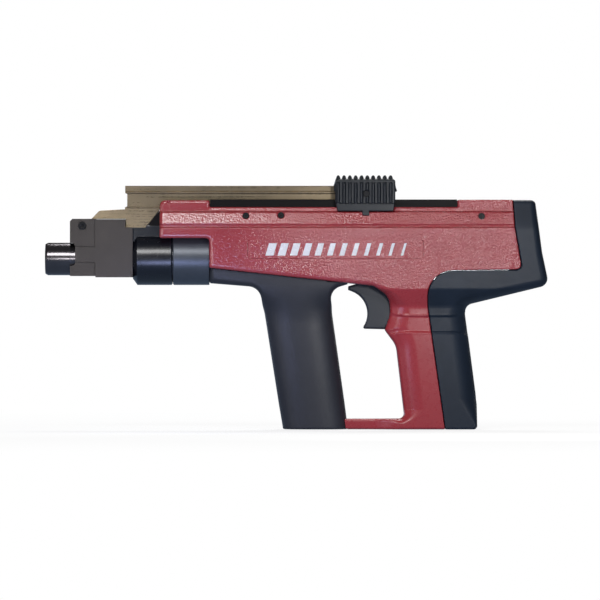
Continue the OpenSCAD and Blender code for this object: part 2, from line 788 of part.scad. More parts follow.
trigger_outline = rounded([
  [41.8, 114.2, 0.6], [41.6, 111.2, 0.3], [67.6, 101.7, 19], [52.8, 80.2, 1.2],
  [71, 79.8, 1.6], [76, 86, 3], [76, 105, 4], [68, 118.6, 1.5], [60, 118.4, 0],
  [46.6, 115.6, 0]
]);

module trigger() color(c_black) difference() {
  union() {
    slab(trigger_outline, -trigger_half_w, trigger_half_w);
    y_rod(trigger_x, trigger_z, -trigger_half_w, trigger_half_w, 4.2);
    // tail under the return spring
    box(75, 84.4, -3.5, 3.5, tail_top_z - 4, tail_top_z);
  }
  y_rod(trigger_x, trigger_z, -10, 10, pin_r + 0.06);
}

module trigger_bar() color(c_steel) {
  box(76.3, 80, 4, 8.5, 98, 103);
  box(76.3, 120.6, 8.4, 10.4, 98, 103);
}

module sear() color(c_steel) difference() {
  union() {
    slab([
      [121.6, 128.6], [125, 128.6], [128, 123.6], [139.4, 122.4], [139.4, 115.6],
      [128, 112.4], [125, 98], [121.4, 98], [121.4, 112], [120.6, 124]
    ], -3.5, 3.5);
    box(121.4, 125, 3.4, 10.4, 98, 103);
  }
  y_rod(sear_x, sear_z, -10, 10, pin_r + 0.06);
}

// ---------- output ----------

left_shell();
right_shell();
front_grip_left();
front_grip_right();
rear_cover_left();
rear_cover_right();
label_plate();
slide_guide();
housing_screws();
housing_nuts();
grip_screws();
barrel_guide();
front_collar();
breech_block();
striker_housing();
striker_spring();
recoil_pad();
strip_guide_lower();
strip_guide_upper();
trigger_pin();
trigger_spring();
sear_pin();
sear_spring();
barrel_tube();
retaining_ring();
nose_block();
muzzle_tube();
piston_guide();
buffer_ring();
nose_pin();
rail_link();
link_screws();
slide_rail();
slide_handle();
handle_pin();
piston();
piston_rings();
striker();
trigger();
trigger_bar();
sear();
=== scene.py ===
import json
import math

import bpy
import numpy as np
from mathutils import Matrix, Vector


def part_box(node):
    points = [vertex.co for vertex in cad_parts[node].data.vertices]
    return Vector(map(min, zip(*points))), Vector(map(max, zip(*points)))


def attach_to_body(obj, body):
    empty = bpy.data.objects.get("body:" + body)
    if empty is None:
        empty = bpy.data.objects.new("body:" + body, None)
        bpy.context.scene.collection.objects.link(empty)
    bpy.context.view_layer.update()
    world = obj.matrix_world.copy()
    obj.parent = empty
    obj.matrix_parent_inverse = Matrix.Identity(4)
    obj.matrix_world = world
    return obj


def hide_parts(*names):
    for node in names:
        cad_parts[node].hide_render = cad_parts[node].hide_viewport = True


# Powder-actuated nail gun. The moulded plastic and rubber pieces are built here as smooth surfaces
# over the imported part; the metal pieces are the part's own nodes with softened edges.
# Shapes are worked out in millimetres, in the frame's axes, and scaled to metres at the end.

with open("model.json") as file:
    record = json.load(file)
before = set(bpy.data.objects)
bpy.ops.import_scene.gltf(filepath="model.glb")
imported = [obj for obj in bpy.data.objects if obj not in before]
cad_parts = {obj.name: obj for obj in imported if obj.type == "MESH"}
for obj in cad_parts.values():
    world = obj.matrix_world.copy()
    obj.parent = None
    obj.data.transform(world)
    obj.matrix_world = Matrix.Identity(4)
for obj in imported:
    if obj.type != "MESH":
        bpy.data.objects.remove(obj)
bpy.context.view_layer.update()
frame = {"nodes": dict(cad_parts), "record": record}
nodes = frame["nodes"]
MM = 0.001


# ---------- main sizes, in millimetres: the first read from the imported part, the rest given as numbers ---

def span(node, axis):
    """Lowest and highest place of a node along one axis."""
    low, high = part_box(node)
    return low[axis] / MM, high[axis] / MM


FRONT_X = span("left_shell", 0)[0]
COLLAR_X = span("front_collar", 0)[1] + 0.2
PANEL_HALF_W = span("right_shell", 1)[1]
AXIS_Z = sum(span("barrel_tube", 2)) / 2
TUBE_R = span("barrel_tube", 1)[1]
RING_R = span("retaining_ring", 1)[1]
GUIDE_R = span("barrel_guide", 1)[1]
HANDLE_X0, HANDLE_X1 = span("slide_handle", 0)
HANDLE_TOP_Z = span("slide_handle", 2)[1]
HANDLE_HALF_W = span("slide_handle", 1)[1]
BARREL_BACK_X = span("barrel_tube", 0)[1]
STRIP_X0, STRIP_X1 = (e + d for e, d in zip(span("strip_guide_lower", 0), (-0.1, 0.1)))
STRIP_HALF_W = span("strip_guide_lower", 1)[1] + 0.1
PIN_X, PIN_Z = (sum(span("handle_pin", a)) / 2 for a in (0, 2))
PIN_R = (span("handle_pin", 0)[1] - span("handle_pin", 0)[0]) / 2
TRIGGER_X, TRIGGER_Z = (sum(span("trigger_pin", a)) / 2 for a in (0, 2))
TOP_Z = 184.0
SLOT_FLOOR_Z = 177.6
SLOT_FRONT_X = -68.8
SLOT_BACK_X = 128.8
GRIP_HALF_W = 18.0
BAND_HALF_W = 16.0
FRONT_GRIP_HALF_W = 17.5
FLARE = 3.4
TRIGGER_HALF_W = 7.0
GUARD_TOP_Z = 8.2
GUARD_HALF_W = 10.5
GRIP_FRONT_X = -69.1
LOW_EDGE_FRONT_Z = 128.8
LOW_EDGE_DROP = 14.4
LOW_EDGE_BACK_X = 61.6
TAIL_BACK_X = 84.4
TRIGGER_SLOT_HALF_W = 7.6
SIDE_RECESS_Y = 17.2
GRIP_RECESS_Y = 15.6
LABEL_DEPTH = 0.6
RIDGE_COUNT = 10
HANDLE_BODY_TOP_Z = 199.6
WALL = 2.6
SCREW_HEAD_R = 2.6
NUT_R = 3.0
SIDE_SCREWS = [(-40, 170.3), (-12, 170.7), (148, 170)]
GRIP_SCREWS = [(4, 92), (13, 16)]
SHELL_SCREW = (106.2, 60)
COVER_SCREW = (130, 22)


# ---------- outlines ----------

def rounded(corners, steps=7):
    """Closed outline through (u, v, radius) corners, each turned into an arc."""
    points = []
    for i, (pu, pv, radius) in enumerate(corners):
        p = np.array([pu, pv], float)
        if radius < 0.05:
            points.append(p)
            continue
        a = np.array(corners[i - 1][:2], float) - p
        b = np.array(corners[(i + 1) % len(corners)][:2], float) - p
        a, b = a / np.linalg.norm(a), b / np.linalg.norm(b)
        half = math.acos(np.clip(a @ b, -1, 1)) / 2
        centre = p + (a + b) / np.linalg.norm(a + b) * radius / math.sin(half)
        s = p + a * radius / math.tan(half) - centre
        e = p + b * radius / math.tan(half) - centre
        turn = math.atan2(s[0] * e[1] - s[1] * e[0], s @ e)
        for t in np.linspace(0, turn, steps + 1):
            c, n = math.cos(t), math.sin(t)
            points.append(centre + np.array([c * s[0] - n * s[1], n * s[0] + c * s[1]]))
    return np.array(points)


def outline_distance(points):
    """Signed distance to a closed outline, negative inside, as a function of two arrays."""
    starts, ends = points, np.roll(points, -1, axis=0)

    def distance(u, v):
        u, v = np.broadcast_arrays(u, v)
        best = np.full(u.shape, 1e12)
        inside = np.zeros(u.shape, bool)
        for (au, av), (bu, bv) in zip(starts, ends):
            eu, ev = bu - au, bv - av
            du, dv = u - au, v - av
            t = np.clip((du * eu + dv * ev) / (eu * eu + ev * ev), 0, 1)
            best = np.minimum(best, (du - t * eu) ** 2 + (dv - t * ev) ** 2)
            if av != bv:
                inside ^= ((av > v) != (bv > v)) & (du < eu * dv / ev)
        return np.where(inside, -1, 1) * np.sqrt(best)

    return distance


def low_edge_z(x):
    """Lower edge of the red body above the front grip, a straight slope."""
    return LOW_EDGE_FRONT_Z - (x - COLLAR_X) * LOW_EDGE_DROP / (LOW_EDGE_BACK_X - COLLAR_X)


housing_outline = outline_distance(rounded([
    (32, 0, 0), (144.6, 0, 3), (144.4, 26, 60), (134.9, 98.9, 6), (201.72, 115.2, 7),
    (196.2, 141, 50), (190.6, 183.8, 4.5), (SLOT_BACK_X, TOP_Z, 1.5),
    (SLOT_BACK_X, SLOT_FLOOR_Z, 0), (SLOT_FRONT_X, SLOT_FLOOR_Z, 0),
    (SLOT_FRONT_X, 183.2, 1), (FRONT_X, 183.2, 5), (FRONT_X, 152.4, 1.5),
    (COLLAR_X, 152.4, 3), (COLLAR_X, low_edge_z(COLLAR_X), 0),
    (LOW_EDGE_BACK_X, low_edge_z(LOW_EDGE_BACK_X), 0), (74.2, 106.5, 14), (75.4, 92, 25),
    (70.8, 79.2, 0), (79.9, 67, 16), (86.8, GUARD_TOP_Z, 4), (32, GUARD_TOP_Z, 0),
]))

cover_outline = outline_distance(rounded([
    (172.2, 200, 0), (174.6, 160, 60), (180.2, 127.4, 4), (105, 126.4, 20),
    (105, 99, 60), (119.6, -4, 0), (215, -4, 0), (215, 200, 0),
]))

grip_outline = outline_distance(rounded([
    (-10.8, 0, 0), (42, 0, 0), (26.9, 111.4, 10), (54, 119.6, 0),
    (GRIP_FRONT_X, 140, 0), (GRIP_FRONT_X, 116.6, 1.5), (-29.1, 113.4, 11),
]))

label_outline = outline_distance(rounded([
    (-38.4, 136.2, 2), (101.6, 136.2, 2), (101.6, 150.8, 2), (-38.4, 150.8, 2),
]))

trigger_outline = outline_distance(rounded([
    (41.8, 114.2, 0.6), (41.6, 111.2, 0.3), (67.6, 101.7, 19), (52.8, 80.2, 1.2),
    (71, 79.8, 1.6), (76, 86, 3), (76, 105, 4), (68, 118.6, 1.5), (60, 118.4, 0),
    (46.6, 115.6, 0),
], steps=12))

# Lower part of the sections across the width, shared by the shells and the covers, as (y, z, radius)
grip_section = [
    (-5, -6, 0), (GRIP_HALF_W, -6, 0), (GRIP_HALF_W, 75.8, 0.6), (GRIP_HALF_W + 0.35, 77, 0.5),
    (GRIP_HALF_W - 1, 78.8, 0.6), (GRIP_HALF_W - 1, 89.4, 0.6), (GRIP_HALF_W + 0.35, 90.9, 0.5),
    (GRIP_HALF_W, 92.4, 0.6), (GRIP_HALF_W, 98, 8), (PANEL_HALF_W, 112, 5),
]

shell_section = outline_distance(rounded(grip_section + [
    (PANEL_HALF_W, 160.6, 0.5), (PANEL_HALF_W - 3.2, 161.7, 0.3), (PANEL_HALF_W - 3.2, 162.5, 0.3),
    (PANEL_HALF_W - 2, 163.9, 1.2), (BAND_HALF_W + 3.6, 173.2, 1.8), (BAND_HALF_W, 174, 0.4),
    (BAND_HALF_W, TOP_Z + 0.1, 1.6), (-5, TOP_Z + 0.1, 0),
]))

cover_section = outline_distance(rounded(grip_section + [
    (PANEL_HALF_W, 161, 22), (BAND_HALF_W + 2, TOP_Z + 0.1, 4), (-5, TOP_Z + 0.1, 0),
]))


# ---------- surfaces as signed distances ----------

def meet(a, b, radius):
    """Where both a and b are, with the edge between them rounded."""
    return (np.minimum(np.maximum(a, b), -radius)
            + np.hypot(np.maximum(a + radius, 0), np.maximum(b + radius, 0)))


def join(a, b, radius):
    """Where a or b is, with the corner between them filled to a radius."""
    return -meet(-a, -b, radius)


def cut(a, b, radius=0.4):
    """What is left of a outside b."""
    return meet(a, -b, radius)


def block(x, y, z, low, high, radius=0.0):
    """Box between two corners, with rounded edges."""
    sides = [np.abs(value - (lo + hi) / 2) - (hi - lo) / 2
             for value, lo, hi in zip((x, y, z), low, high)]
    return meet(meet(sides[0], sides[2], radius), sides[1], radius)


def pin_along_y(x, z, place, radius):
    return np.hypot(x - place[0], z - place[1]) - radius


def bore_along_x(y, z, radius):
    return np.hypot(y, z - AXIS_Z) - radius


def ramp(value, stations, levels):
    """Straight-line blend of levels between stations."""
    return np.interp(value, stations, levels)


def bevelled(a, b, wide, high, crisp, soft):
    """Where both a and b are, with the edge cut flat, wide along b and high along a."""
    flat = (a / wide + b / high + 1) / np.hypot(1 / wide, 1 / high)
    return meet(meet(a, flat, soft), b, crisp)


def shell_body(x, y, z):
    """The red body before its openings: bevelled along the grip, small edges above it."""
    wide = ramp(z, [3, 16, 98, 112, 122], [1, 10.5, 10.5, 2.6, 1.2])
    high = ramp(z, [3, 16, 98, 112, 122], [1, 6.5, 6.5, 2.6, 1.2])
    crisp = ramp(z, [3, 16, 98, 112, 150, 156], [0.8, 3, 3, 1.6, 1.6, 1.2])
    soft = ramp(z, [3, 16, 98, 112], [0.8, 2.2, 2.2, 1.2])
    return bevelled(housing_outline(x, z), shell_section(y, z), wide, high, crisp, soft)


def cover_body(x, y, z):
    """The rubber cover before its openings: a round grip back and soft edges above it."""
    radius = ramp(z, [3, 24, 92, 106, 122, 176, 184], [1.6, 15.5, 15.5, 9, 6, 5, 3.2])
    return meet(housing_outline(x, z), cover_section(y, z), radius)


def smooth_step(value, low, high):
    t = np.clip((value - low) / (high - low), 0, 1)
    return t * t * (3 - 2 * t)


def beside_guard(x, y, z):
    """Room beside the guard bar, which is narrower than the grip that it runs into."""
    width = GUARD_HALF_W + 7.5 * smooth_step(x, 58, 86) + 8 * smooth_step(x, 80, 92)
    return y - width - np.maximum(z - GUARD_TOP_Z - 1, 0) * 2


def seam_gap(y):
    """Half of the groove between the red body and the rubber cover, closed further in."""
    return 0.02 + 0.2 * smooth_step(y, 11, 14.5)


def grip_column(x, y, z):
    """Leaning oval column of the front grip, which widens into the flare below the body."""
    middle_x = 15.6 - 0.1485 * z
    length = 26.6 + 0.0129 * z + 120 * smooth_step(z, 88, 130) ** 2
    width = FRONT_GRIP_HALF_W + FLARE * smooth_step(z, 84, 116)
    power = 2.5
    around = (np.abs((x - middle_x) / length) ** power + np.abs(y / width) ** power) ** (1 / power)
    return (around - 1) * width


def openings(body, x, y, z):
    """The housing's openings for the barrel unit, the slide, the cartridge strip and the trigger."""
    barrel = np.where(x < COLLAR_X, bore_along_x(y, z, RING_R + 0.4),
                      np.where(x < -36, bore_along_x(y, z, GUIDE_R + 0.05),
                               bore_along_x(y, z, TUBE_R + 0.4)))
    body = cut(body, np.maximum(barrel, x - BARREL_BACK_X), 0.2)
    body = cut(body, block(x, y, z, (-130, -11, 148), (-100, 11, 175.5)), 0.3)
    body = cut(body, block(x, y, z, (-130, -9.6, 174), (SLOT_FRONT_X + 1, 9.6, 190)), 0.3)
    body = cut(body, block(x, y, z, (SLOT_FRONT_X, -13.5, 170), (SLOT_BACK_X, 13.5, 190)), 0.3)
    body = cut(body, block(x, y, z, (STRIP_X0, -STRIP_HALF_W, -10), (STRIP_X1, STRIP_HALF_W, 5)), 0.4)
    body = cut(body, block(x, y, z, (40, -TRIGGER_SLOT_HALF_W, 78),
                           (80, TRIGGER_SLOT_HALF_W, 122)), 0.5)
    return cut(body, block(x, y, z, (75, -TRIGGER_SLOT_HALF_W, 84),
                           (89, TRIGGER_SLOT_HALF_W, 104)), 0.3)


def half_of(body, y, radius=0.45):
    """The half of a body on the +Y side, with a fine edge at the parting plane."""
    return meet(body, 0.03 - y, radius)


def recess(body, x, y, z, place, radius, floor_y):
    return cut(body, np.maximum(pin_along_y(x, z, place, radius), floor_y - y), 0.25)


def hollow(body, solid):
    """body without the inside of solid, which leaves a wall."""
    return np.maximum(body, -(solid + WALL))


def shell(x, y, z, side):
    """Half of the red body; side is 'left' or 'right'."""
    solid = meet(shell_body(x, y, z), beside_guard(x, y, z), 1.6)
    solid = np.maximum(solid, 0.12 - np.where(z < 12, grip_column(x, y, z), 1e3))
    solid = meet(solid, seam_gap(y) - cover_outline(x, z), 0.7)
    body = openings(solid, x, y, z)
    for place in SIDE_SCREWS:
        head_r = SCREW_HEAD_R if side == "left" else NUT_R
        body = recess(body, x, y, z, place, head_r, SIDE_RECESS_Y)
    if side == "left":
        body = recess(body, x, y, z, (-101.6, 181.2), 0.9, 15.2)
        body = cut(body, np.maximum(label_outline(x, z), PANEL_HALF_W - LABEL_DEPTH - y), 0.15)
    else:
        body = recess(body, x, y, z, SHELL_SCREW, SCREW_HEAD_R, GRIP_RECESS_Y)
    return half_of(hollow(body, solid), y)


def cover(x, y, z, side):
    """Half of the rubber rear cover."""
    solid = meet(cover_body(x, y, z), seam_gap(y) + cover_outline(x, z), 0.4)
    body = solid
    if side == "right":
        body = recess(body, x, y, z, COVER_SCREW, SCREW_HEAD_R, GRIP_RECESS_Y)
    return half_of(hollow(body, solid), y)


def front_grip(x, y, z, side):
    """Half of the front grip."""
    body = meet(grip_column(x, y, z), grip_outline(x, z), ramp(z, [3, 20, 96, 112], [1.4, 1, 2, 4]))
    body = meet(body, z - low_edge_z(x) + 0.04, 0.1)
    hole = np.where(x < -36, bore_along_x(y, z, GUIDE_R + 0.05), bore_along_x(y, z, TUBE_R + 0.4))
    body = cut(body, hole, 0.2)
    if side == "right":
        for place in GRIP_SCREWS:
            body = recess(body, x, y, z, place, SCREW_HEAD_R, 15.2)
    return half_of(body, y)


def trigger_shape(x, y, z):
    """Curved trigger with softened edges and its tail for the return spring."""
    body = meet(trigger_outline(x, z), np.abs(y) - TRIGGER_HALF_W, 1.8)
    hub = np.maximum(pin_along_y(x, z, (TRIGGER_X, TRIGGER_Z), 4.2), np.abs(y) - TRIGGER_HALF_W)
    body = join(body, hub, 0.3)
    body = join(body, block(x, y, z, (70, -3.5, 91.8), (TAIL_BACK_X, 3.5, 95.8), 0.5), 0.3)
    return cut(body, pin_along_y(x, z, (TRIGGER_X, TRIGGER_Z), 2.06), 0.2)


handle_outline = outline_distance(rounded([
    (HANDLE_X0 + 2, 174, 0.8), (HANDLE_X1 - 1.6, 174, 0.8), (HANDLE_X1, 182, 2),
    (HANDLE_X1, HANDLE_BODY_TOP_Z, 2.2), (HANDLE_X0, HANDLE_BODY_TOP_Z, 2.2), (HANDLE_X0, 182, 2),
]))


def handle_shape(x, y, z):
    """Ribbed slide handle: ridges over the top, ribs down both sides, a plain band below."""
    width = np.abs(y)
    outer = handle_outline(x, z)
    body = meet(outer, width - 20.4, 1.4)
    first = HANDLE_X0 + 2.5
    pitch = (HANDLE_X1 - HANDLE_X0 - 6.2) / (RIDGE_COUNT - 1)
    centre = first + np.clip(np.round((x - first) / pitch), 0, RIDGE_COUNT - 1) * pitch
    flank = (np.abs(x - centre) - 2 + 0.34 * (z - HANDLE_BODY_TOP_Z)) * 0.94
    ridge = meet(flank, z - HANDLE_TOP_Z, 1.1)
    ridge = meet(meet(ridge, 190 - z, 0.5), width - 19.6, 2.2)
    body = join(body, ridge, 0.6)
    side_rib = np.hypot((x - centre) * 1.1, (width - 20.2) * 0.8) - 1.4
    side_rib = meet(side_rib, np.abs(z - 188.6) - 8.4, 1.1)
    body = join(body, side_rib, 0.4)
    band = meet(meet(outer, width - HANDLE_HALF_W + 0.2, 0.8), z - 180.2, 0.8)
    tab = block(x, width, z, (52.8, 20.9, 170.4), (58.4, HANDLE_HALF_W - 0.2, 176), 0.5)
    body = join(body, np.minimum(band, tab), 0.5)
    body = cut(body, block(x, y, z, (HANDLE_X0 - 5, -16.7, 160), (HANDLE_X1 + 5, 16.7, 184)), 0.3)
    body = cut(body, block(x, y, z, (HANDLE_X0 - 5, -9.05, 180), (76.1, 9.05, 194.5)), 0.2)
    return cut(body, pin_along_y(x, z, (PIN_X, PIN_Z), PIN_R + 0.05), 0.5)


# ---------- meshing ----------

def grid_lines(low, high, step, fine_low=0.0, fine_high=0.0):
    """Grid lines from low to high, twice as close between fine_low and fine_high."""
    lines = low + np.arange(int((high - low) / step * 2) + 3) * step / 2
    fine = (lines > fine_low) & (lines < fine_high)
    return lines[fine | (np.arange(len(lines)) % 2 == 0)]


def surface_net(field, xs, ys, zs):
    """Points, in grid units of millimetres, and quads of the surface where field is zero."""
    values = field(xs[:, None, None], ys[None, :, None], zs[None, None, :]).astype(np.float32)
    inside = values < 0
    count = np.zeros([n - 1 for n in values.shape], np.int8)
    for i in (0, 1):
        for j in (0, 1):
            for k in (0, 1):
                count += inside[i:i + count.shape[0], j:j + count.shape[1], k:k + count.shape[2]]
    cells = np.argwhere((count > 0) & (count < 8))
    ids = np.full(count.shape, -1)
    ids[tuple(cells.T)] = np.arange(len(cells))
    total = np.zeros((len(cells), 3))
    hits = np.zeros(len(cells))
    lines = (xs, ys, zs)
    for axis in range(3):
        others = [a for a in range(3) if a != axis]
        for shift in ((0, 0), (0, 1), (1, 0), (1, 1)):
            corner = cells.copy()
            corner[:, others[0]] += shift[0]
            corner[:, others[1]] += shift[1]
            end = corner.copy()
            end[:, axis] += 1
            v0, v1 = values[tuple(corner.T)], values[tuple(end.T)]
            crossed = (v0 < 0) != (v1 < 0)
            t = np.where(crossed, v0 / np.where(crossed, v0 - v1, 1), 0)
            point = np.stack([lines[a][corner[:, a]] for a in range(3)], axis=1)
            point[:, axis] += t * (lines[axis][end[:, axis]] - point[:, axis])
            total += point * crossed[:, None]
            hits += crossed
    points = total / hits[:, None]
    quads = []
    for axis in range(3):
        turn = [axis, (axis + 1) % 3, (axis + 2) % 3]
        solid, cell = inside.transpose(turn), ids.transpose(turn)
        here, there = solid[:-1, 1:-1, 1:-1], solid[1:, 1:-1, 1:-1]
        ring = np.stack([cell[:, :-1, :-1], cell[:, 1:, :-1], cell[:, 1:, 1:], cell[:, :-1, 1:]],
                        axis=-1)
        quads.append(ring[here & ~there])
        quads.append(ring[there & ~here][:, ::-1])
    return points, np.concatenate(quads)


def slope(field, points, value, h=0.03):
    """Gradient of field at each point."""
    rows = []
    for axis in range(3):
        moved = points.copy()
        moved[:, axis] += h
        rows.append((field(*moved.T) - value) / h)
    return np.stack(rows, axis=1)


def moulded(field, low, high, step, fine=(0.0, 0.0)):
    """Points, quads and normals of the surface where field is zero."""
    xs = grid_lines(low[0], high[0], step)
    ys = grid_lines(low[1], high[1], step)
    zs = grid_lines(low[2], high[2], step, *fine)
    points, quads = surface_net(field, xs, ys, zs)
    for _ in range(2):
        value = field(*points.T)
        gradient = slope(field, points, value)
        size = np.maximum((gradient ** 2).sum(1), 0.2)
        move = gradient * (value / size)[:, None]
        points -= np.clip(move, -step / 2, step / 2)
    gradient = slope(field, points, field(*points.T))
    normals = gradient / np.maximum(np.linalg.norm(gradient, axis=1), 1e-9)[:, None]
    return points, quads, normals


def mesh_object(name, points, quads, normals):
    mesh = bpy.data.meshes.new(name)
    mesh.from_pydata((points * MM).tolist(), [], quads.tolist())
    mesh.polygons.foreach_set("use_smooth", np.ones(len(quads), bool))
    mesh.normals_split_custom_set_from_vertices(normals.tolist())
    made = bpy.data.objects.new(name, mesh)
    bpy.context.scene.collection.objects.link(made)
    return made


def mirrored(points, quads, normals):
    """The same surface on the other side of the mid plane."""
    flip = np.array([1, -1, 1])
    return points * flip, quads[:, ::-1], normals * flip


# ---------- materials ----------

def add(tree, kind, inputs=None, **settings):
    """A shader node with its settings, and its inputs linked or set."""
    node = tree.nodes.new(kind)
    for key, value in settings.items():
        setattr(node, key, value)
    for key, value in (inputs or {}).items():
        if isinstance(value, bpy.types.NodeSocket):
            tree.links.new(value, node.inputs[key])
        else:
            node.inputs[key].default_value = value
    return node


def stretched(tree, scale):
    """Object coordinates scaled along each axis, in cycles per metre."""
    place = add(tree, "ShaderNodeTexCoord").outputs["Object"]
    return add(tree, "ShaderNodeMapping", {"Vector": place, "Scale": scale}).outputs["Vector"]


def noise(tree, scale, detail=3.0, rough=0.55):
    """Noise from 0 to 1; scale is cycles per metre, one number or one for each axis."""
    if isinstance(scale, (int, float)):
        scale = (scale, scale, scale)
    found = add(tree, "ShaderNodeTexNoise",
                {"Vector": stretched(tree, scale), "Scale": 1.0, "Detail": detail,
                 "Roughness": rough})
    return found.outputs["Fac"]


def remap(tree, value, low, high, to_low=0.0, to_high=1.0):
    found = add(tree, "ShaderNodeMapRange",
                {"Value": value, "From Min": low, "From Max": high, "To Min": to_low,
                 "To Max": to_high})
    return found.outputs["Result"]


def math_node(tree, operation, a, b):
    found = add(tree, "ShaderNodeMath", operation=operation)
    for i, value in enumerate((a, b)):
        if isinstance(value, bpy.types.NodeSocket):
            tree.links.new(value, found.inputs[i])
        else:
            found.inputs[i].default_value = value
    return found.outputs["Value"]


def mix_color(tree, factor, a, b):
    found = add(tree, "ShaderNodeMix", data_type="RGBA")
    for i, value in ((0, factor), (6, a), (7, b)):
        if isinstance(value, bpy.types.NodeSocket):
            tree.links.new(value, found.inputs[i])
        else:
            found.inputs[i].default_value = value
    return found.outputs[2]


def bump(tree, height, distance, strength=1.0, normal=None):
    inputs = {"Height": height, "Distance": distance, "Strength": strength}
    if normal is not None:
        inputs["Normal"] = normal
    return add(tree, "ShaderNodeBump", inputs).outputs["Normal"]


def shade(color, amount):
    return tuple(min(1.0, c * amount) for c in color[:3]) + (1.0,)


def finish(name, color, roughness, metallic=0.0, specular=0.5, mottle=0.12, wear=0.5,
           worn=None, grain=None, brushed=None, leather=False, decorate=None):
    """Procedural material. grain is (cycles per metre, height in metres); brushed is the noise
    scale along each axis; wear is how much of the sharp edges is rubbed towards worn."""
    material = bpy.data.materials.new(name)
    material.use_nodes = True
    tree = material.node_tree
    shader = tree.nodes["Principled BSDF"]
    shader.inputs["Metallic"].default_value = metallic
    shader.inputs["Specular IOR Level"].default_value = specular
    blotch = noise(tree, 45, 4)
    tone = remap(tree, blotch, 0.3, 0.7)
    base = mix_color(tree, tone, shade(color, 1 - mottle), shade(color, 1 + mottle))
    soft = add(tree, "ShaderNodeBevel", {"Radius": 0.0006}, samples=4).outputs["Normal"]
    sharp = add(tree, "ShaderNodeNewGeometry").outputs["Normal"]
    bend = add(tree, "ShaderNodeVectorMath", {0: soft, 1: sharp}, operation="DOT_PRODUCT")
    rubbed = math_node(tree, "MULTIPLY", remap(tree, bend.outputs["Value"], 0.995, 0.93),
                       remap(tree, noise(tree, 260, 4), 0.42, 0.62, 0.0, wear))
    base = mix_color(tree, rubbed, base, worn or shade(color, 2.2))
    uneven = remap(tree, noise(tree, 240, 5), 0.3, 0.7, roughness * 0.93, roughness * 1.07)
    normal = None
    if brushed:
        streaks = noise(tree, brushed, 2, 0.6)
        uneven = math_node(tree, "ADD", uneven, remap(tree, streaks, 0.3, 0.7, -0.07, 0.07))
        normal = bump(tree, streaks, 0.00002)
    if grain:
        normal = bump(tree, noise(tree, grain[0], 3, 0.6), grain[1], normal=normal)
    if leather:
        normal, uneven, shine = leather_grain(tree, normal, uneven, specular)
        tree.links.new(shine, shader.inputs["Specular IOR Level"])
    if decorate:
        base = decorate(tree, base)
    tree.links.new(base, shader.inputs["Base Color"])
    tree.links.new(uneven, shader.inputs["Roughness"])
    if normal:
        tree.links.new(normal, shader.inputs["Normal"])
    return material


def leather_grain(tree, normal, uneven, specular):
    """Pebbled, glossy grain on the upper body: shallower to the front, none on the rear grip."""
    place = add(tree, "ShaderNodeTexCoord").outputs["Object"]
    parts = add(tree, "ShaderNodeSeparateXYZ", {"Vector": place})
    edge = math_node(tree, "ADD", parts.outputs["Z"],
                     remap(tree, noise(tree, 60, 2), 0.3, 0.7, -0.002, 0.002))
    upper = remap(tree, edge, 0.1105, 0.1145)
    pebbles = add(tree, "ShaderNodeTexVoronoi", {"Vector": stretched(tree, (1, 1, 1)),
                  "Scale": 760.0, "Randomness": 1.0}, feature="SMOOTH_F1")
    wrinkles = noise(tree, (520, 520, 820), 3, 0.6)
    relief = math_node(tree, "ADD", math_node(tree, "MULTIPLY", pebbles.outputs["Distance"], -0.7),
                       wrinkles)
    depth = math_node(tree, "MULTIPLY", upper, remap(tree, parts.outputs["X"], -0.06, 0.08, 0.3, 1))
    normal = bump(tree, math_node(tree, "MULTIPLY", relief, depth), 0.00065, normal=normal)
    glossy = add(tree, "ShaderNodeMix", {0: upper, 2: uneven, 3: 0.19}).outputs[0]
    shine = add(tree, "ShaderNodeMix", {0: upper, 2: specular, 3: 1.0}).outputs[0]
    return normal, glossy, shine


def side_stripes(tree, base):
    """Generic printed stripes that lean back and thin out to the rear."""
    place = add(tree, "ShaderNodeTexCoord").outputs["Object"]
    parts = add(tree, "ShaderNodeSeparateXYZ", {"Vector": place})
    x, z = parts.outputs["X"], parts.outputs["Z"]
    leaned = math_node(tree, "SUBTRACT", x, math_node(tree, "MULTIPLY", z, 0.3))
    start, pitch = -0.066, 0.0098
    cycle = math_node(tree, "FRACT",
                      math_node(tree, "DIVIDE", math_node(tree, "SUBTRACT", leaned, start), pitch),
                      0.0)
    duty = remap(tree, x, -0.03, 0.095, 0.72, 0.16)
    bar = math_node(tree, "LESS_THAN", cycle, duty)
    inside = math_node(tree, "MULTIPLY", math_node(tree, "GREATER_THAN", leaned, start),
                       math_node(tree, "LESS_THAN", leaned, start + 12 * pitch))
    band = math_node(tree, "MULTIPLY", math_node(tree, "GREATER_THAN", z, 0.1386),
                     math_node(tree, "LESS_THAN", z, 0.1484))
    mask = math_node(tree, "MULTIPLY", math_node(tree, "MULTIPLY", bar, inside), band)
    faded = math_node(tree, "MULTIPLY", mask, remap(tree, noise(tree, 900, 3), 0.25, 0.4, 0.55, 0.95))
    return mix_color(tree, faded, base, (0.72, 0.72, 0.75, 1.0))


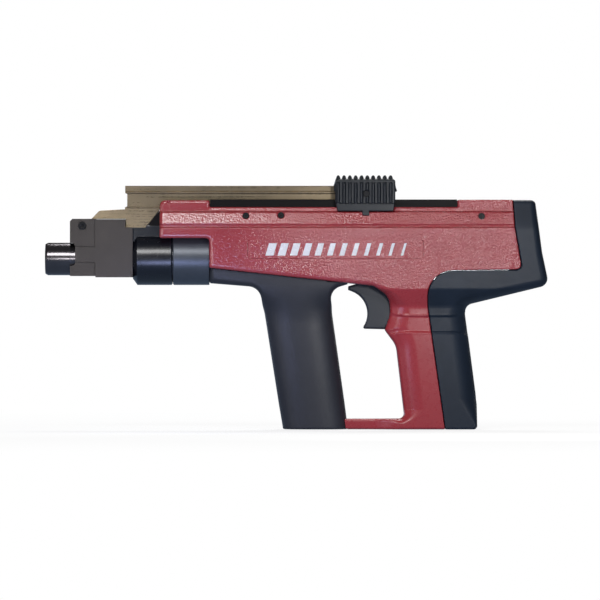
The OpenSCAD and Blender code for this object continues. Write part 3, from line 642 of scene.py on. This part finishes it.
red = (0.335, 0.032, 0.040)
materials = {
    "red_plastic": finish("red_plastic", red, 0.28, mottle=0.05, wear=0.35,
                          worn=(0.62, 0.25, 0.25, 1), grain=(2600, 0.00002), leather=True),
    "label_red": finish("label_red", red, 0.28, mottle=0.05, wear=0.2,
                        worn=(0.62, 0.25, 0.25, 1), grain=(2600, 0.00002), leather=True,
                        decorate=side_stripes),
    "black_grip": finish("black_grip", (0.024, 0.024, 0.031), 0.44, specular=0.4, mottle=0.1,
                         wear=0.3, worn=(0.10, 0.10, 0.11, 1), grain=(3000, 0.00003)),
    "black_rubber": finish("black_rubber", (0.010, 0.016, 0.028), 0.46, specular=0.3, mottle=0.14,
                           wear=0.3, worn=(0.08, 0.09, 0.10, 1), grain=(2400, 0.00004)),
    "guide_plastic": finish("guide_plastic", (0.005, 0.004, 0.004), 0.5, specular=0.12, wear=0.15,
                            brushed=(20, 1500, 1500), grain=(2500, 0.00002)),
    "bronze_rail": finish("bronze_rail", (0.27, 0.21, 0.133), 0.32, metallic=0.85, wear=0.4,
                          worn=(0.40, 0.36, 0.30, 1), brushed=(9, 1700, 1700)),
    "nose_metal": finish("nose_metal", (0.050, 0.040, 0.034), 0.42, metallic=0.3, wear=0.3,
                         worn=(0.15, 0.13, 0.12, 1), grain=(3200, 0.00003)),
    "ring_black": finish("ring_black", (0.004, 0.005, 0.009), 0.26, specular=0.6, wear=0.3,
                         worn=(0.12, 0.12, 0.14, 1), grain=(1600, 0.000004)),
    "collar_blue": finish("collar_blue", (0.062, 0.070, 0.086), 0.36, metallic=0.4, specular=0.8,
                          wear=0.5, worn=(0.28, 0.30, 0.34, 1), grain=(1400, 0.000008)),
    "muzzle_steel": finish("muzzle_steel", (0.11, 0.102, 0.108), 0.20, metallic=0.9, wear=0.5,
                           worn=(0.45, 0.43, 0.42, 1), grain=(900, 0.000005)),
    "steel": finish("steel", (0.42, 0.42, 0.44), 0.30, metallic=1.0, wear=0.5,
                    worn=(0.75, 0.75, 0.76, 1), brushed=(1800, 40, 40)),
    "dark_steel": finish("dark_steel", (0.008, 0.008, 0.009), 0.5, metallic=0.2, specular=0.25,
                         wear=0.5, worn=(0.12, 0.11, 0.11, 1), grain=(2500, 0.00002)),
    "spring_steel": finish("spring_steel", (0.35, 0.35, 0.37), 0.28, metallic=1.0, wear=0.4,
                           grain=(3000, 0.00002)),
    "buffer_rubber": finish("buffer_rubber", (0.02, 0.02, 0.02), 0.6, wear=0.2,
                            grain=(1800, 0.00006)),
    "handle_plastic": finish("handle_plastic", (0.009, 0.011, 0.015), 0.42, specular=0.4, wear=0.3,
                             worn=(0.09, 0.09, 0.10, 1), grain=(2200, 0.00004)),
    "trigger_plastic": finish("trigger_plastic", (0.020, 0.023, 0.030), 0.42, specular=0.4,
                              wear=0.3, worn=(0.09, 0.09, 0.10, 1), grain=(2800, 0.00003)),
    "guide_alloy": finish("guide_alloy", (0.38, 0.38, 0.39), 0.36, metallic=1.0, wear=0.4,
                          brushed=(1600, 30, 30)),
}


# ---------- moulded pieces ----------

def attach(made, body, slot, *replaced):
    made.data.materials.append(materials[slot])
    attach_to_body(made, body)
    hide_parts(*replaced)


MOULDINGS = [
    # piece, field, replaced node with its side, lowest and highest corner, cell, slot, fine heights
    ("body_moulding_{}", shell, "{}_shell", (-110, -1, -1.3), (183, 26.5, 186), 1.0,
     "red_plastic", (158, 176)),
    ("rear_cover_rubber_{}", cover, "rear_cover_{}", (103, -1, -1.3), (203, 26.5, 186), 0.9,
     "black_rubber", (0, 0)),
    ("front_grip_moulding_{}", front_grip, "front_grip_{}", (-71, -1, -1.3), (45, 23, 130), 0.9,
     "black_grip", (0, 0)),
]
for name, shape, node, low, high, cell, slot, fine in MOULDINGS:
    for side in ("left", "right"):
        surface = moulded(lambda x, y, z: shape(x, y, z, side), low, high, cell, fine)
        if side == "left":
            surface = mirrored(*surface)
        attach(mesh_object(name.format(side), *surface), "housing", slot, node.format(side))

trigger_surface = moulded(trigger_shape, (40, -8.2, 78), (88, 8.2, 124), 0.5)
attach(mesh_object("trigger_moulding", *trigger_surface),
       "trigger_body", "trigger_plastic", "trigger")
handle_surface = moulded(handle_shape, (30, -23, 169), (81, 23, 204), 0.55)
attach(mesh_object("slide_handle_moulding", *handle_surface),
       "barrel_unit", "handle_plastic", "slide_handle")


# ---------- metal pieces: the part's nodes with softened edges ----------

EDGE_SIZES = {
    "nose_block": 0.45, "retaining_ring": 0.35, "front_collar": 0.3, "muzzle_tube": 0.3,
    "rail_link": 0.3, "slide_rail": 0.15, "slide_guide": 0.3, "label_plate": 0.1,
    "handle_pin": 0.3, "nose_pin": 0.3, "housing_screws": 0.15, "grip_screws": 0.15,
    "barrel_tube": 0.3, "breech_block": 0.5, "striker_housing": 0.5,
}
replaced_nodes = {"left_shell", "right_shell", "rear_cover_left", "rear_cover_right",
                  "front_grip_left", "front_grip_right", "trigger", "slide_handle"}

node_slots = {s["node"]: s["material_slot"] for s in frame["record"]["subparts"]}
for name, node in nodes.items():
    slot = "label_red" if name == "label_plate" else node_slots[name]
    node.data.materials.clear()
    node.data.materials.append(materials[slot])
    if name in replaced_nodes:
        continue
    weld = node.modifiers.new("weld", "WELD")
    weld.merge_threshold = 0.000002
    flat = node.modifiers.new("flat", "DECIMATE")
    flat.decimate_type = "DISSOLVE"
    flat.angle_limit = math.radians(0.5)
    if name in EDGE_SIZES:
        soft = node.modifiers.new("soft_edges", "BEVEL")
        soft.width = EDGE_SIZES[name] * MM
        soft.segments = 3
        soft.limit_method = "ANGLE"
        soft.angle_limit = math.radians(32)
        soft.harden_normals = False
        soft.use_clamp_overlap = True
    tidy = node.modifiers.new("normals", "WEIGHTED_NORMAL")
    tidy.keep_sharp = True


# ---------- studio ----------

BACKGROUND = 1.0
AMBIENT = 0.10
FLOOR_GLOW = 0.5
FLOOR_BOUNCE = (0.34, 0.46, 0.64, 1)
SKY_BLUE = (0.66, 0.80, 1.0)
RING_BLUE = (0.50, 0.58, 1.0)
FIELD_WIDTH = 0.480
CAMERA_DISTANCE = 5.0
CAMERA_X, CAMERA_Z = 0.0032, 0.1032


def look_at(made, target):
    made.rotation_mode = "QUATERNION"
    made.rotation_quaternion = (Vector(target) - made.location).to_track_quat("-Z", "Y")


def softbox(name, location, target, width, height, power, color=(1, 1, 1)):
    data = bpy.data.lights.new(name, "AREA")
    data.shape = "RECTANGLE"
    data.size, data.size_y = width, height
    data.energy = power
    data.color = color
    made = bpy.data.objects.new(name, data)
    bpy.context.scene.collection.objects.link(made)
    made.location = location
    look_at(made, target)
    made.visible_camera = False


def studio_floor():
    """Large pale disc whose far part turns as bright as the background."""
    mesh = bpy.data.meshes.new("studio_floor")
    rings, sides = [0.0, 0.5, 1.5, 4.0, 40.0], 96
    points = [(0, 0, 0)]
    for radius in rings[1:]:
        points += [(radius * math.cos(t), radius * math.sin(t), 0)
                   for t in np.linspace(0, 2 * math.pi, sides, endpoint=False)]
    faces = [(0, 1 + i, 1 + (i + 1) % sides) for i in range(sides)]
    for r in range(len(rings) - 2):
        a, b = 1 + r * sides, 1 + (r + 1) * sides
        faces += [(a + i, b + i, b + (i + 1) % sides, a + (i + 1) % sides) for i in range(sides)]
    mesh.from_pydata(points, [], faces)
    made = bpy.data.objects.new("studio_floor", mesh)
    bpy.context.scene.collection.objects.link(made)
    made.location.z = -0.0003
    material = bpy.data.materials.new("studio_floor")
    material.use_nodes = True
    tree = material.node_tree
    shader = tree.nodes["Principled BSDF"]
    shader.inputs["Roughness"].default_value = 0.9
    shader.inputs["Specular IOR Level"].default_value = 0.1
    seen = add(tree, "ShaderNodeLightPath").outputs["Is Camera Ray"]
    tone = mix_color(tree, seen, FLOOR_BOUNCE, (0.97, 0.97, 0.97, 1))
    tree.links.new(tone, shader.inputs["Base Color"])
    where = add(tree, "ShaderNodeTexCoord").outputs["Object"]
    far = remap(tree, add(tree, "ShaderNodeVectorMath", {0: where}, operation="LENGTH")
                .outputs["Value"], 0.0, 0.8, 0.75, 1.0)
    glow = add(tree, "ShaderNodeEmission",
               {"Color": mix_color(tree, seen, FLOOR_BOUNCE, (1, 1, 1, 1)),
                "Strength": remap(tree, seen, 0, 1, FLOOR_GLOW, BACKGROUND)})
    both = add(tree, "ShaderNodeMixShader", {0: far, 1: shader.outputs["BSDF"],
                                             2: glow.outputs["Emission"]})
    tree.links.new(both.outputs["Shader"], tree.nodes["Material Output"].inputs["Surface"])
    mesh.materials.append(material)


def sky():
    """White where the camera sees it, with a dimmer glow that lights the object."""
    world = bpy.data.worlds.new("studio")
    bpy.context.scene.world = world
    world.use_nodes = True
    tree = world.node_tree
    direction = add(tree, "ShaderNodeTexCoord").outputs["Generated"]
    up = add(tree, "ShaderNodeSeparateXYZ", {"Vector": direction}).outputs["Z"]
    glow = remap(tree, up, -0.2, 0.9, AMBIENT, AMBIENT * 0.7)
    seen = add(tree, "ShaderNodeLightPath").outputs["Is Camera Ray"]
    strength = add(tree, "ShaderNodeMix", {0: seen, 2: glow, 3: BACKGROUND}).outputs[0]
    tree.links.new(strength, tree.nodes["Background"].inputs["Strength"])
    tree.nodes["Background"].inputs["Color"].default_value = (1, 1, 1, 1)


studio_floor()
sky()
middle = (0.0, 0.0, 0.12)
softbox("key", (-0.3, -1.3, 1.0), middle, 0.45, 0.4, 9.5)
softbox("side", (-1.35, -1.15, 0.22), middle, 0.35, 0.6, 3.2)
softbox("fill", (1.1, -1.4, 0.16), middle, 0.5, 0.5, 1.6, SKY_BLUE)
softbox("top", (0.04, 0.6, 1.1), (0.04, 0, 0.15), 0.5, 0.3, 8)
softbox("sparkle", (0.16, -0.42, 0.155), (0.15, 0, 0.145), 0.09, 0.06, 0.6)
softbox("ring_strip", (-0.10, -0.22, 0.072), (-0.10, 0, 0.136), 0.07, 0.05, 0.11, RING_BLUE)
softbox("muzzle_strip", (-0.19, -0.3, 0.146), (-0.19, 0, 0.136), 0.05, 0.025, 0.07)
softbox("back_key", (0.8, 1.4, 0.7), middle, 0.7, 0.7, 9)
softbox("back_fill", (-1.0, 1.2, 0.3), middle, 0.6, 0.5, 3.5, SKY_BLUE)

camera_data = bpy.data.cameras.new("camera")
camera_data.sensor_width = 36.0
camera_data.lens = camera_data.sensor_width * CAMERA_DISTANCE / FIELD_WIDTH
camera_data.clip_start = 0.05
camera = bpy.data.objects.new("camera", camera_data)
bpy.context.scene.collection.objects.link(camera)
camera.location = (CAMERA_X, -CAMERA_DISTANCE, CAMERA_Z)
look_at(camera, (CAMERA_X, 0, CAMERA_Z))
bpy.context.scene.camera = camera
bpy.context.scene.view_settings.view_transform = "Standard"
